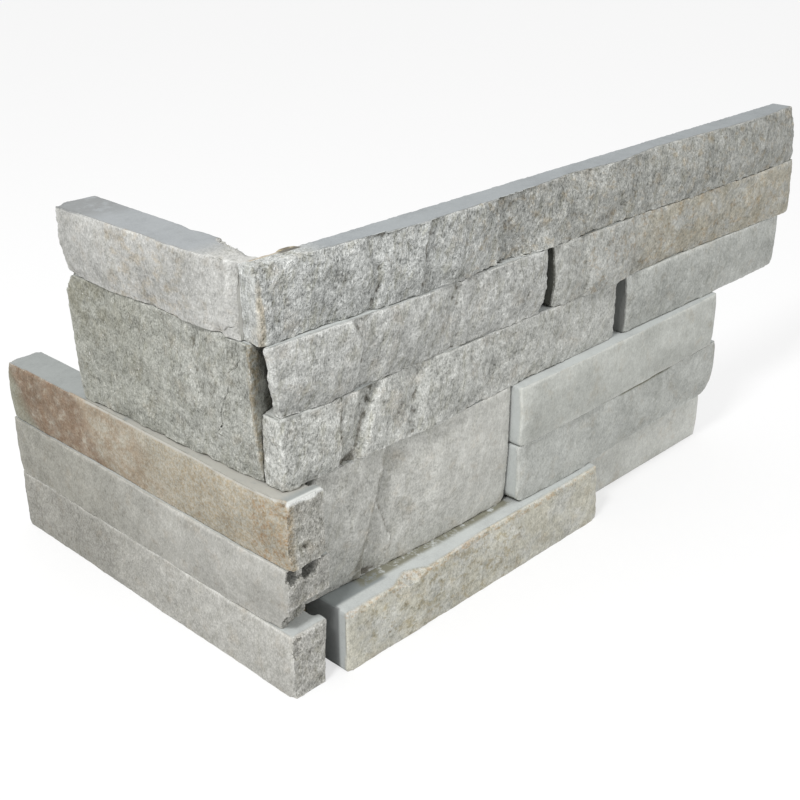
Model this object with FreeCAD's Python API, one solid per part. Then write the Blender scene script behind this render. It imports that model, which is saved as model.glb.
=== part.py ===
import FreeCAD, Part
import itertools
import os

# A stone ledger corner for cladding: strips of split grey quartzite, glued together in six
# courses that turn round an outside corner. Every strip has a sawn back, sawn beds and a
# rough face where the rock was split. The two legs lock together at the corner like fingers:
# the long leg's strips run through in the upper courses, the short leg's in the lower ones.
# Millimetres, +Z up. The origin is the foot of the inner corner, where both backs meet.
# The long leg runs along +X with its back on Y = 0 and faces -Y.
# The short leg runs along +Y with its back on X = 0 and faces -X.

# Courses
COURSES = 6
COURSE_HEIGHT = 25.0

# Far ends of the strips, measured from the inner corner
SHORT_UPPER_END = 96.0
SHORT_TALL_END = 96.5
SHORT_LOWER_END = 149.6
LONG_TOP_END = 312.0
LONG_SECOND_END = 312.5
LONG_THIRD_END = 305.5
LONG_FOURTH_END = 250.0
LONG_FIFTH_END = 255.0
LONG_SIXTH_END = 254.8

# Corner: how far strips run past the inner corner line
LONG_LAP = 12.0
LONG_SECOND_LAP = 11.6
LONG_SECOND_FOOT_LAP = 7.2
LONG_THIRD_LAP = 9.0
SHORT_LAP = 19.0
BROKEN_LAP = 17.6
SHORT_FOOT_LAP = 19.6
MITRE_LAP = 4.4
UNDERCUT = 3.5

# Breaks between strips of one course on the long leg
BUTT_JOINT = 0.5
SECOND_BREAK = 124.5
SECOND_SLOT = 4.0
THIRD_BREAK = 173.0
THIRD_SLOT = 6.0
BLOCK_END = 106.0
LEDGE_START = 8.5
LEDGE_END = 155.4

# Thickness of the strips, from the sawn back to the middle of the split face
SHORT_TOP_DEPTH = 16.0
SHORT_TALL_DEPTH = 13.5
SHORT_FOURTH_DEPTH = 14.4
SHORT_FIFTH_DEPTH = 14.8
SHORT_SIXTH_DEPTH = 14.6
LONG_TOP_DEPTH = 12.2
LONG_SECOND_DEPTH = 12.8
LONG_THIRD_DEPTH = 13.0
BLOCK_DEPTH = 12.2
LONG_FOURTH_DEPTH = 17.4
LONG_FIFTH_DEPTH = 16.4
LEDGE_DEPTH = 21.8
THIN_DEPTH = 9.2

# Adhesive smeared up the inner corner
ADHESIVE_START = 2.4
ADHESIVE_WIDTH = 9.3
ADHESIVE_THICKNESS = 1.9

# Split faces: the arris at each end is knocked off by a little over a short zone, and the
# rock bulges most between its two beds
ARRIS_ZONE = 3.0
ARRIS_FALL = 0.8
OVERRUN = 1.0

# The relief of a split face is a list of stations, evenly spaced along the strip from the
# corner outwards. Each gives how far the rock stands in front of the strip's own thickness
# at the top bed, at mid height and at the lower bed.
SHORT_TOP_RELIEF = [(-3.6, -1.4, -2.4), (-1.0, -0.2, -1.6), (0.2, -0.2, -2.8), (-0.2, -0.2, -2.4),
                    (0.2, 0.8, -0.8), (0.5, 0.6, -1.4), (1.2, 0.0, -3.2)]
SHORT_TALL_RELIEF = [(-0.4, -0.8, -5.2), (0.5, -0.5, -3.7), (-0.5, 0.2, -2.4), (-0.1, -0.6, -2.6),
                     (1.1, 0.2, -2.0), (0.9, 0.0, -2.0), (1.4, 0.9, -1.6)]
SHORT_FOURTH_RELIEF = [(-1.2, 0.0, -1.6), (0.0, 0.6, -0.8), (-0.9, 0.2, -1.2), (-0.7, 0.0, -1.0),
                       (-0.9, 0.4, -1.2), (-0.7, -0.2, -0.8), (0.0, 0.5, -0.6), (0.4, 0.5, -0.6)]
SHORT_FIFTH_RELIEF = [(-1.4, -0.4, -2.2), (-0.2, 0.4, -0.9), (-0.3, 0.0, -0.7), (-0.1, 0.3, -0.8),
                      (-0.4, -0.2, -0.6), (-0.1, 0.2, -0.7), (-0.2, 0.2, -0.7)]
SHORT_SIXTH_RELIEF = [(-0.6, 0.4, -0.6), (-0.4, 0.2, -0.5), (-0.5, -0.2, -0.4), (-0.3, 0.3, -0.5),
                      (-0.5, 0.0, -0.5), (-0.3, 0.2, -0.4)]
LONG_TOP_RELIEF = [(-6.2, -3.4, -3.6), (-3.6, -1.4, -3.6), (-0.4, 0.6, -1.2), (-0.8, 1.0, 0.0),
                   (-1.2, -0.8, -3.8), (-4.0, -0.2, -0.9), (-0.8, 0.4, -1.8), (-4.4, -0.6, -1.6),
                   (-3.2, 0.2, 0.2), (-1.4, 1.2, 0.8), (-1.2, 1.0, 0.6), (-3.0, -0.4, -0.8)]
LONG_SECOND_CORNER_RELIEF = [(-2.4, -1.6, -2.8), (-1.6, 0.2, -0.8), (-0.8, 0.2, -2.4), (-0.4, 0.2, -2.4),
                             (-0.8, -0.4, -2.0), (-1.2, 0.0, -1.8), (-0.6, 0.2, -1.4)]
LONG_SECOND_OUTER_RELIEF = [(-1.6, 0.0, -1.4), (-0.8, 1.4, 0.8), (-1.8, -0.2, -2.0), (-0.4, -0.4, -3.0),
                            (0.0, 0.2, -1.8), (0.2, 0.8, -0.8), (-0.8, 0.2, 0.2)]
LONG_THIRD_CORNER_RELIEF = [(-2.2, 0.2, -1.0), (-0.6, 1.0, -0.6), (-1.4, 0.0, 0.4), (-1.2, 1.6, 2.2),
                            (-1.8, -0.6, -0.8), (-1.4, -0.4, -1.6), (-1.6, -0.2, -1.2), (-2.0, -0.8, -1.2)]
LONG_THIRD_OUTER_RELIEF = [(-1.6, 0.0, -1.0), (-2.0, -0.4, -1.0), (-1.4, 0.2, -1.0), (-1.0, 0.4, -0.6),
                           (-1.2, -0.6, -1.4)]
BLOCK_RELIEF = [(-1.4, -0.8, -4.2), (-0.6, 0.6, -3.6), (-1.6, -1.2, -3.0), (0.2, 1.6, -1.8),
                (0.4, 1.2, -1.2), (-0.2, 0.2, -1.6)]
LONG_FOURTH_RELIEF = [(-1.0, 0.4, -0.6), (-0.6, 0.8, -0.6), (-1.2, 0.0, -1.0), (-1.6, -0.6, -1.8),
                      (-2.4, -1.6, -2.4)]
LONG_FIFTH_RELIEF = [(-0.2, 1.0, -0.2), (-0.4, 1.2, 0.8), (-0.8, 0.0, -1.5), (-1.4, -0.6, -1.9),
                     (-2.0, -1.4, -2.8)]
LEDGE_RELIEF = [(0.4, 0.8, 0.0), (0.6, 0.8, 0.0), (-1.6, -0.2, 0.0), (-1.2, 0.0, 0.0), (-1.2, -0.2, 0.0)]
THIN_RELIEF = [(-0.6, 0.2, -0.4), (-0.2, 0.0, -0.4), (-0.6, 0.3, -0.3), (-0.4, 0.1, -0.4)]

# Slope of the ridges on the split faces: how far along the strip they run from foot to top
SHORT_TOP_LEAN = -5.0
SHORT_TALL_LEAN = -8.0
SHORT_LEAN = -6.0
LONG_TOP_LEAN = 10.0
LONG_SECOND_LEAN = 8.0
LONG_THIRD_LEAN = 16.0
LONG_LEAN = 6.0

# Radii of the corners that are worn round in the outline of a strip
WORN_CORNERS = {
    "short_course_1": {"end top": 3.0},
    "short_course_4": {"end top": 3.5, "start top": 1.5},
    "short_course_6": {"end foot": 3.0, "start top": 1.2},
    "long_course_1": {"end top": 4.0},
    "long_course_2_corner": {"end foot": 2.0},
    "long_course_2_outer": {"start foot": 2.5, "end foot": 4.0},
    "long_course_3_corner": {"start top": 1.5, "end top": 2.0},
    "long_course_3_outer": {"end foot": 4.0},
    "long_courses_4_5_corner": {"start top": 2.5, "end foot": 2.0},
    "long_course_4_outer": {"start foot": 2.0},
    "long_course_5_outer": {"start foot": 4.0, "end foot": 13.0},
    "long_course_6_ledge": {"start top": 1.5},
}

# Flakes lost from the arrises: the strip, which of its ends the flake is measured from and how
# far it lies from there, its side and bed, and its length, depth and height
FLAKES = [
    ("short_course_1", "start", 10.0, "face", "foot", 13.0, 4.0, 6.0),
    ("short_course_1", "start", 6.0, "back", "top", 30.0, 7.0, 4.0),
    ("short_course_1", "start", 38.0, "back", "top", 12.0, 1.5, 1.0),
    ("short_course_1", "end", 0.0, "face", "top", 9.0, 9.0, 14.0),
    ("short_courses_2_3", "start", 18.0, "face", "top", 8.0, 2.0, 5.0),
    ("short_courses_2_3", "start", 34.0, "face", "foot", 24.0, 5.0, 3.0),
    ("short_courses_2_3", "end", 1.3, "face", "top", 10.0, 5.0, 8.0),
    ("short_course_4", "start", 3.0, "face", "top", 14.0, 3.0, 3.0),
    ("short_course_4", "end", 0.0, "face", "top", 8.0, 8.0, 12.0),
    ("short_course_5", "start", 0.0, "face", "foot", 16.0, 12.0, 8.0),
    ("long_course_1", "end", 0.0, "face", "top", 9.0, 9.0, 18.0),
    ("long_course_2_corner", "start", 96.6, "face", "top", 22.0, 3.4, 5.0),
    ("long_course_2_corner", "end", 0.0, "face", "foot", 9.0, 6.0, 7.0),
    ("long_course_3_corner", "start", 62.0, "face", "top", 54.0, 3.6, 14.0),
    ("long_course_3_outer", "start", 9.0, "face", "top", 34.0, 3.6, 8.0),
    ("long_courses_4_5_corner", "start", 3.0, "face", "top", 12.0, 6.0, 6.0),
    ("long_course_5_outer", "end", 44.5, "face", "top", 44.0, 2.6, 2.0),
    ("long_course_6_ledge", "start", 32.0, "face", "top", 18.0, 4.0, 4.0),
]


class Stone:
    """One strip: its leg, its courses counted from the top, its ends and its split face."""

    def __init__(self, leg, courses, start, end, depth, relief, lean, foot_start=None):
        self.leg = leg
        self.top = (COURSES + 1 - courses[0]) * COURSE_HEIGHT
        self.foot = (COURSES - courses[-1]) * COURSE_HEIGHT
        self.start = start
        self.foot_start = start if foot_start is None else foot_start
        self.end = end
        self.depth = depth
        self.relief = relief
        self.lean = lean


def place(leg, along, out, up):
    """The point that lies this far along the leg, out from its back and up from the foot."""
    if leg == "long":
        return FreeCAD.Vector(along, -out, up)
    return FreeCAD.Vector(-out, along, up)


def sawn_slab(stone, reach, worn):
    """The strip before its face is split, with the corners that are worn round in its outline."""
    corners = {
        "start foot": (stone.foot_start, stone.foot),
        "end foot": (stone.end, stone.foot),
        "end top": (stone.end, stone.top),
        "start top": (stone.start, stone.top),
    }
    points = [place(stone.leg, along, 0, up) for along, up in corners.values()]
    outline = Part.Face(Part.makePolygon(points + points[:1]))
    slab = outline.extrude(place(stone.leg, 0, reach, 0))
    for corner, radius in worn.items():
        along, up = corners[corner]
        middle = place(stone.leg, along, reach / 2, up)
        edge = min(slab.Edges, key=lambda e: e.CenterOfMass.distanceToPoint(middle))
        slab = slab.makeFillet(radius, [edge])
    return slab


def profile(stone, along, slope, top, middle, foot):
    """The strip's cross-section at one station, sloping along the strip with the rock's ridge."""
    height = stone.top - stone.foot
    rows = [
        (stone.foot - OVERRUN, foot),
        (stone.foot + height / 2, middle),
        (stone.top + OVERRUN, top),
    ]
    points = []
    for up, out in rows:
        lean = slope * (up - stone.foot - height / 2) / height
        points.append(place(stone.leg, along + lean, stone.depth + out, up))
    face = Part.BSplineCurve()
    face.interpolate(points)
    back = place(stone.leg, 0, OVERRUN + stone.depth, 0)
    behind = [points[-1] - back - place(stone.leg, 0, top, 0),
              points[0] - back - place(stone.leg, 0, foot, 0)]
    return Part.Wire([face.toShape()] + Part.makePolygon([points[-1]] + behind + [points[0]]).Edges)


def split_rock(stone):
    """A body of rock whose front is the split face: broad facets that meet in sloping ridges."""
    first = stone.start + ARRIS_ZONE
    step = (stone.end - ARRIS_ZONE - first) / (len(stone.relief) - 1)
    near = [out - ARRIS_FALL for out in stone.relief[0]]
    far = [out - ARRIS_FALL for out in stone.relief[-1]]
    sections = [profile(stone, stone.start + along, 0, *near) for along in (-OVERRUN, 0)]
    for i, depths in enumerate(stone.relief):
        slope = stone.lean if 0 < i < len(stone.relief) - 1 else 0
        sections.append(profile(stone, first + i * step, slope, *depths))
    sections += [profile(stone, stone.end + along, 0, *far) for along in (0, OVERRUN)]
    return Part.makeLoft(sections, True, True)


def split_stone(stone, worn):
    """A sawn slab cut back to its split face."""
    return sawn_slab(stone, 2 * stone.depth, worn).common(split_rock(stone))


def upright(plan, foot, top):
    """A prism over a plan outline of (x, y) points."""
    points = [FreeCAD.Vector(x, y, foot) for x, y in plan]
    return Part.Face(Part.makePolygon(points + points[:1])).extrude(FreeCAD.Vector(0, 0, top - foot))


def flake(stone, end, away, side, bed, length, deep, tall):
    """A long eight-sided wedge that knocks a flake off an arris of the strip's face or back."""
    along = stone.start + away if end == "start" else stone.end - away
    out = stone.depth if side == "face" else 0
    centre = place(stone.leg, along, out, stone.top if bed == "top" else stone.foot)
    reach = [place(stone.leg, length / 2, 0, 0), place(stone.leg, 0, deep, 0), place(stone.leg, 0, 0, tall)]
    faces = []
    for signs in itertools.product((1, -1), repeat=3):
        tips = [centre + tip * sign for tip, sign in zip(reach, signs)]
        faces.append(Part.Face(Part.makePolygon(tips + tips[:1])))
    wedge = Part.Solid(Part.Shell(faces))
    if wedge.Volume < 0:
        wedge.reverse()
    return wedge


def mitre_waste(side, foot, top):
    """What lies on one side of the oblique cut that parts the tall strip from the long leg."""
    far = 4 * SHORT_TALL_DEPTH
    slope = MITRE_LAP / SHORT_TALL_DEPTH
    line = [(0, 0), (-far, -far * slope)]
    if side == "front":
        return upright(line + [(-far, -2 * far), (0, -2 * far)], foot, top)
    return upright(line + [(-far, far), (0, far)], foot, top)


# The strips, top course first
stones = {
    "short_course_1": Stone("short", [1], 0, SHORT_UPPER_END, SHORT_TOP_DEPTH, SHORT_TOP_RELIEF,
                            SHORT_TOP_LEAN),
    "short_courses_2_3": Stone("short", [2, 3], -2 * MITRE_LAP, SHORT_TALL_END, SHORT_TALL_DEPTH,
                               SHORT_TALL_RELIEF, SHORT_TALL_LEAN),
    "short_course_4": Stone("short", [4], -SHORT_LAP, SHORT_LOWER_END, SHORT_FOURTH_DEPTH,
                            SHORT_FOURTH_RELIEF, SHORT_LEAN),
    "short_course_5": Stone("short", [5], -SHORT_LAP, SHORT_LOWER_END, SHORT_FIFTH_DEPTH,
                            SHORT_FIFTH_RELIEF, SHORT_LEAN, -BROKEN_LAP),
    "short_course_6": Stone("short", [6], -SHORT_FOOT_LAP, SHORT_LOWER_END, SHORT_SIXTH_DEPTH,
                            SHORT_SIXTH_RELIEF, SHORT_LEAN),
    "long_course_1": Stone("long", [1], -LONG_LAP, LONG_TOP_END, LONG_TOP_DEPTH, LONG_TOP_RELIEF,
                           LONG_TOP_LEAN),
    "long_course_2_corner": Stone("long", [2], -LONG_SECOND_LAP, SECOND_BREAK, LONG_SECOND_DEPTH,
                                  LONG_SECOND_CORNER_RELIEF, LONG_SECOND_LEAN,
                                  -LONG_SECOND_FOOT_LAP),
    "long_course_2_outer": Stone("long", [2], SECOND_BREAK + SECOND_SLOT, LONG_SECOND_END,
                                 LONG_SECOND_DEPTH, LONG_SECOND_OUTER_RELIEF, LONG_SECOND_LEAN),
    "long_course_3_corner": Stone("long", [3], -LONG_THIRD_LAP, THIRD_BREAK, LONG_THIRD_DEPTH,
                                  LONG_THIRD_CORNER_RELIEF, LONG_THIRD_LEAN),
    "long_course_3_outer": Stone("long", [3], THIRD_BREAK + THIRD_SLOT, LONG_THIRD_END,
                                 LONG_THIRD_DEPTH, LONG_THIRD_OUTER_RELIEF, LONG_SECOND_LEAN),
    "long_courses_4_5_corner": Stone("long", [4, 5], BUTT_JOINT, BLOCK_END, BLOCK_DEPTH,
                                     BLOCK_RELIEF, LONG_LEAN),
    "long_course_4_outer": Stone("long", [4], BLOCK_END + BUTT_JOINT, LONG_FOURTH_END,
                                 LONG_FOURTH_DEPTH, LONG_FOURTH_RELIEF, LONG_LEAN),
    "long_course_5_outer": Stone("long", [5], BLOCK_END + BUTT_JOINT, LONG_FIFTH_END,
                                 LONG_FIFTH_DEPTH, LONG_FIFTH_RELIEF, LONG_LEAN),
    "long_course_6_ledge": Stone("long", [6], LEDGE_START, LEDGE_END, LEDGE_DEPTH, LEDGE_RELIEF,
                                 LONG_LEAN),
    "long_course_6_outer": Stone("long", [6], LEDGE_END + BUTT_JOINT, LONG_SIXTH_END, THIN_DEPTH,
                                 THIN_RELIEF, LONG_LEAN),
}

shapes = {}
for name, stone in stones.items():
    shapes[name] = split_stone(stone, WORN_CORNERS.get(name, {}))

# The tall strip and the long leg's strips beside it meet along an oblique cut, so that both
# reach the corner. The second course is broken away further behind its arris, which leaves a
# dark wedge open there.
tall_strip = stones["short_courses_2_3"]
front_waste = mitre_waste("front", tall_strip.foot, tall_strip.top)
shapes["short_courses_2_3"] = shapes["short_courses_2_3"].cut(front_waste)
for name in ["long_course_2_corner", "long_course_3_corner"]:
    back_waste = mitre_waste("back", stones[name].foot, stones[name].top)
    shapes[name] = shapes[name].cut(back_waste)
second = stones["long_course_2_corner"]
hollow = UNDERCUT - LONG_SECOND_DEPTH
outside = -2 * LONG_SECOND_LAP
wedge_plan = [(UNDERCUT, 0), (-LONG_SECOND_LAP, hollow), (outside, hollow), (outside, UNDERCUT),
              (UNDERCUT, UNDERCUT)]
wedge_gap = upright(wedge_plan, second.foot, second.top)
shapes["long_course_2_corner"] = shapes["long_course_2_corner"].cut(wedge_gap)

for name, end, away, side, bed, length, deep, tall in FLAKES:
    lost = flake(stones[name], end, away, side, bed, length, deep, tall)
    shapes[name] = shapes[name].cut(lost)

# A low smear of adhesive, with a rounded back, up the inner corner behind the long leg
ends = [(ADHESIVE_START, 0), (ADHESIVE_START + ADHESIVE_WIDTH / 2, ADHESIVE_THICKNESS),
        (ADHESIVE_START + ADHESIVE_WIDTH, 0)]
left, crown, right = [FreeCAD.Vector(x, y, 0) for x, y in ends]
smear = Part.Wire([Part.Arc(left, crown, right).toShape(), Part.makeLine(right, left)])
shapes["corner_adhesive"] = Part.Face(smear).extrude(FreeCAD.Vector(0, 0, COURSES * COURSE_HEIGHT))

os.makedirs("parts", exist_ok=True)
for name, shape in shapes.items():
    solid = shape.Solids[0]
    solid.exportStep("parts/" + name + ".step")
    print(name, len(shape.Solids), solid.isValid(), round(solid.Volume), solid.BoundBox)
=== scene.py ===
# %% [markdown]
# # A split-face stone ledger corner
# A ledger corner is a cladding panel made of strips of quartzite. Each strip is sawn on its
# back, beds and ends, and split on its face, so the face shows the grain of the rock. The
# strips are glued together in six courses that turn round an outside corner. In this lesson
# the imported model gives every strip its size, place and broad facets. Blender adds what the
# saw and the hammer leave behind: relief, worn arrises, cracks, and the colours of the rock.

# %% Load the strips
import math

import bpy
import numpy as np
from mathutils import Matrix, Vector


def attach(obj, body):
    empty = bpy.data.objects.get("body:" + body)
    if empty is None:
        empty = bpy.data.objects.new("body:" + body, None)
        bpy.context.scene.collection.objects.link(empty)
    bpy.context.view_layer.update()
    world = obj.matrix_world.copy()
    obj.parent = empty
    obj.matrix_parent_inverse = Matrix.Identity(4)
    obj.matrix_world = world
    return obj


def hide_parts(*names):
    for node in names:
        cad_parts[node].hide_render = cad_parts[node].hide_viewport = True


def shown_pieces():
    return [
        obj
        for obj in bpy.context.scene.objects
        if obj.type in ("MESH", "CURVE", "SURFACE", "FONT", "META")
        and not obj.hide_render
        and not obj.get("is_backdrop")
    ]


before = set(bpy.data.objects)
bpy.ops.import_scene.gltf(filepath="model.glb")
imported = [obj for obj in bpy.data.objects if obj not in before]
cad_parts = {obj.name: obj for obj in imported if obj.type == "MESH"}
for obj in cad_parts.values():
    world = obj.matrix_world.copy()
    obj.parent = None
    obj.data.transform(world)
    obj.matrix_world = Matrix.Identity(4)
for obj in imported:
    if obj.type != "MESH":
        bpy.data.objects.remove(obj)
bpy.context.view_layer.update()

MM = 0.001
print("strips in the frame:", len(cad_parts))

# %% [markdown]
# The table of strips says which solid each one starts from, which way its split face looks,
# and how coarse the split is. The short leg faces -X and the long leg faces -Y. A coarseness
# of 1 is rough rock. It is given near the corner and at the far end, because the rock of one
# strip changes along its length. Where strips cross at the corner their ends are rough too,
# and the last number says how rough. A 0 there is an end that is hidden or sawn.

# %% The strips and their split sides
SHORT, LONG = Vector((-1, 0, 0)), Vector((0, -1, 0))
STRIPS = {
    "short_strip_1": ("short_course_1", SHORT, 0.65, 0.65, 0),
    "short_strip_2_3": ("short_courses_2_3", SHORT, 1.1, 0.95, 1.0),
    "short_strip_4": ("short_course_4", SHORT, 0.35, 0.3, 1.4),
    "short_strip_5": ("short_course_5", SHORT, 0.3, 0.45, 1.3),
    "short_strip_6": ("short_course_6", SHORT, 0.5, 0.65, 1.25),
    "long_strip_1": ("long_course_1", LONG, 1.6, 1.05, 1.1),
    "long_strip_2_corner": ("long_course_2_corner", LONG, 1.15, 1.1, 1.0),
    "long_strip_2_outer": ("long_course_2_outer", LONG, 0.95, 0.75, 0),
    "long_strip_3_corner": ("long_course_3_corner", LONG, 1.4, 0.85, 1.2),
    "long_strip_3_outer": ("long_course_3_outer", LONG, 0.5, 0.5, 0),
    "long_strip_4_5_corner": ("long_courses_4_5_corner", LONG, 0.85, 0.3, 0),
    "long_strip_4_outer": ("long_course_4_outer", LONG, 0.2, 0.2, 0),
    "long_strip_5_outer": ("long_course_5_outer", LONG, 0.4, 0.4, 0),
    "long_strip_6_ledge": ("long_course_6_ledge", LONG, 0.6, 0.6, 0),
    "long_strip_6_outer": ("long_course_6_outer", LONG, 0.2, 0.2, 0),
}
print("strips to dress:", len(STRIPS))


def on_short_leg(name):
    """True for a strip whose face is on the short leg."""
    return STRIPS[name][1] == SHORT


def only(piece):
    """Selects this object and nothing else, because an operator acts on all that is selected."""
    bpy.ops.object.select_all(action="DESELECT")
    piece.select_set(True)
    bpy.context.view_layer.objects.active = piece


# %% [markdown]
# Relief needs many small faces of an even size. The solids come as a few large triangles, so a
# copy of each is merged and given to a Remesh modifier in its Voxel mode. The voxels also round
# every sharp edge by about their own size, which is just how far a sawn arris is worn on stone.
#
# The voxels also weld shapes that run into each other. Three strips of the short leg reach past
# the inner side of their own end and lap the tall stone of the long leg by a few millimetres.
# Glue fills the upright joint at the top of the corner, and resin closes the back of the slot
# below it. Each of these is a bevelled block that is joined to its piece before the cells are
# made.

# %% Even cells for every strip
CELL = 0.7 * MM
WELD = 0.01 * MM
# The bevel of a block as a share of its shortest side
BLOCK_BEVEL = 0.2
# strip: lowest and highest corner in mm, and how far the top leans along x
BLOCKS = {
    "short_strip_1": ((-11.8, -0.2, 126.0), (-2.0, 3.0, 148.6), 0.0),
    "short_strip_4": ((-5.0, -18.6, 50.0), (3.3, -13.2, 75.0), 0.0),
    "short_strip_5": ((-5.0, -18.4, 30.0), (5.0, -13.0, 49.4), 1.2),
    "short_strip_6": ((-5.0, -19.0, 0.0), (1.8, -13.6, 25.0), 2.2),
    "corner_resin": ((-0.3, -2.6, 99.8), (6.4, 1.0, 125.2), 0.0),
}


def block(low, high, lean):
    """A bevelled block between two corners, in mm, which leans about its middle."""
    size = np.subtract(high, low)
    bpy.ops.object.select_all(action="DESELECT")
    bpy.ops.mesh.primitive_cube_add(size=MM)
    made = bpy.context.active_object
    bpy.ops.object.mode_set(mode="EDIT")
    bpy.ops.mesh.select_all(action="SELECT")
    bpy.ops.transform.resize(value=size)
    bpy.ops.mesh.bevel(offset=min(size) * BLOCK_BEVEL * MM, segments=2)
    bpy.ops.mesh.select_all(action="SELECT")
    bpy.ops.transform.rotate(value=-math.atan2(lean, size[2]), orient_axis="Y", center_override=(0, 0, 0))
    bpy.ops.transform.translate(value=Vector(np.add(low, high) / 2) * MM)
    bpy.ops.object.mode_set(mode="OBJECT")
    return made


def celled_copy(node, name):
    """A merged copy of a solid of the frame, rebuilt from even cells."""
    piece = bpy.data.objects.new(name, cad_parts[node].data.copy())
    bpy.context.scene.collection.objects.link(piece)
    piece.data.materials.clear()
    only(piece)
    bpy.ops.object.mode_set(mode="EDIT")
    bpy.ops.mesh.select_all(action="SELECT")
    bpy.ops.mesh.remove_doubles(threshold=WELD)
    bpy.ops.mesh.normals_make_consistent(inside=False)
    bpy.ops.object.mode_set(mode="OBJECT")
    if name in BLOCKS:
        welded = block(*BLOCKS[name])
        only(piece)
        welded.select_set(True)
        bpy.ops.object.join()
    cells = piece.modifiers.new("cells", "REMESH")
    cells.mode = "VOXEL"
    cells.voxel_size = CELL
    bpy.ops.object.modifier_apply(modifier="cells")
    return piece


pieces = {name: celled_copy(node, name) for name, (node, *_) in STRIPS.items()}
print("faces after the remesh:", sum(len(p.data.polygons) for p in pieces.values()))

# %% [markdown]
# A saw leaves a flat face and a hammer a rough one, so the relief must know where it is. Three
# vertex groups say that: "split" is 1 on the rough sides, "arris" is 1 along the edges, where a
# strip is knocked in the crate, and "sawn" is 1 on the flat faces. They come from the way each
# vertex faces. A wide oblique face is a place where a flake has gone, so it counts as split.
# The finish also needs the coarseness of each place, which is written as a named attribute.

# %% Where the rock is split and where it is worn
COARSEST = 1.6
WEIGHT_STEPS = 20
# Near the corner the tops of the two upper strips are broken too: strip, axis, rough and sawn from
ROUGH_TOPS = {"short_strip_1": (1, 10, 24), "long_strip_1": (0, 4, 20)}


def read(mesh, source, wanted, width=3):
    """The values of a mesh layer as an array with one row for each element."""
    values = np.zeros(len(source) * width, "f")
    source.foreach_get(wanted, values)
    return values.reshape(-1, width).astype(float)


def ends_of_edges(mesh):
    """The two vertices of each edge."""
    pairs = np.zeros(len(mesh.edges) * 2, "i")
    mesh.edges.foreach_get("vertices", pairs)
    return pairs.reshape(-1, 2)


def smoothed(rows, pairs, rounds):
    """The rows after each has become the mean of its neighbours, this many times."""
    count = np.bincount(pairs.ravel(), minlength=len(rows))
    for _ in range(rounds):
        total = np.zeros_like(rows)
        for column in range(rows.shape[1]):
            for here, there in (pairs.T, pairs.T[::-1]):
                total[:, column] += np.bincount(here, rows[there, column], len(rows))
        rows = total / count[:, None]
    return rows


def ease(values, low, high):
    """A smooth step from 0 at low to 1 at high."""
    t = np.clip((values - low) / (high - low), 0, 1)
    return t * t * (3 - 2 * t)


def store(piece, name, values):
    """Writes one number for each vertex as a named attribute."""
    layer = piece.data.attributes.new(name, "FLOAT", "POINT")
    layer.data.foreach_set("value", values.astype("f"))


def add_group(piece, name, weights):
    """A vertex group with these weights, rounded to even steps."""
    group = piece.vertex_groups.new(name=name)
    steps = np.rint(weights * WEIGHT_STEPS).astype(int)
    for step in range(1, WEIGHT_STEPS + 1):
        found = np.flatnonzero(steps == step)
        if len(found):
            group.add(found.tolist(), step / WEIGHT_STEPS, "REPLACE")


for name, (_, face, near, far, end) in STRIPS.items():
    piece = pieces[name]
    points = read(piece.data, piece.data.vertices, "co") / MM
    facing = read(piece.data, piece.data.vertex_normals, "vector")
    along = points[:, 1 if face == SHORT else 0]
    run = np.interp(along, (along.min(), along.max()), (near, far))
    toward_face = facing @ np.array(face)
    toward_end = facing @ np.array(LONG if face == SHORT else SHORT) * (end > 0)
    toward = np.maximum(toward_face, toward_end)
    square = np.abs(facing).max(1)
    off_square = 1 - ease(square, 0.86, 0.95)[:, None]
    oblique = smoothed(off_square, ends_of_edges(piece.data), rounds=8)[:, 0]
    broken = ease(oblique, 0.5, 0.75)
    share = [ease(toward_face, 0.3, 0.8) * run, ease(toward_end, 0.3, 0.8) * end, broken * 0.8]
    add_group(piece, "split", np.max(share, axis=0) / COARSEST)
    front = 0.2 + 0.8 * ease(toward, -0.4, 0.2)
    add_group(piece, "arris", (1 - ease(square, 0.8, 0.96)) * front)
    sawn = (1 - ease(toward, 0.05, 0.35)) * (1 - broken)
    if name in ROUGH_TOPS:
        axis, rough_to, sawn_from = ROUGH_TOPS[name]
        sawn *= 1 - (1 - ease(points[:, axis], rough_to, sawn_from)) * ease(facing[:, 2], 0.3, 0.7)
    add_group(piece, "sawn", sawn)
    store(piece, "coarseness", run + ease(toward_end, 0.3, 0.6) * (end - run))
print("groups on each strip:", [group.name for group in piece.vertex_groups])

# %% [markdown]
# Quartzite splits along its grain, which stands upright in these strips. The relief is built in
# layers of Displace modifiers, from broad swells to narrow ribs. Each layer reads its pattern
# through an empty object, whose scale sets how wide and how tall a bump is, and whose turn
# leans the ribs. Moving the empty gives every strip its own part of the pattern.

# %% Layers of relief
# name, noise, hard or soft, size along, out and up in mm, lean in degrees, strength in mm,
# level that stays where it is, group
RELIEF = [
    ("swells", "BLENDER_ORIGINAL", "SOFT_NOISE", (26, 26, 18), 20, 1.4, 0.5, "split"),
    ("facets", "VORONOI_F1", "SOFT_NOISE", (11, 11, 13), 20, 1.2, 0.5, "split"),
    ("ribs", "BLENDER_ORIGINAL", "HARD_NOISE", (4.5, 6, 6.5), 18, 0.55, 0.5, "split"),
    ("grit", "ORIGINAL_PERLIN", "SOFT_NOISE", (1.7, 1.7, 1.9), 8, 0.6, 0.5, "split"),
    ("knocks", "BLENDER_ORIGINAL", "HARD_NOISE", (3.5, 3.5, 3.5), 0, -0.5, 0.35, "arris"),
]
# The broad layers run on from strip to strip, so that stacked faces stay nearly flush
BROAD = ["swells", "facets"]
# How far the pattern of the finer layers moves from one strip to the next
PATTERN_STEP = Vector((0.37, 0.61, 0.23))


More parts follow.
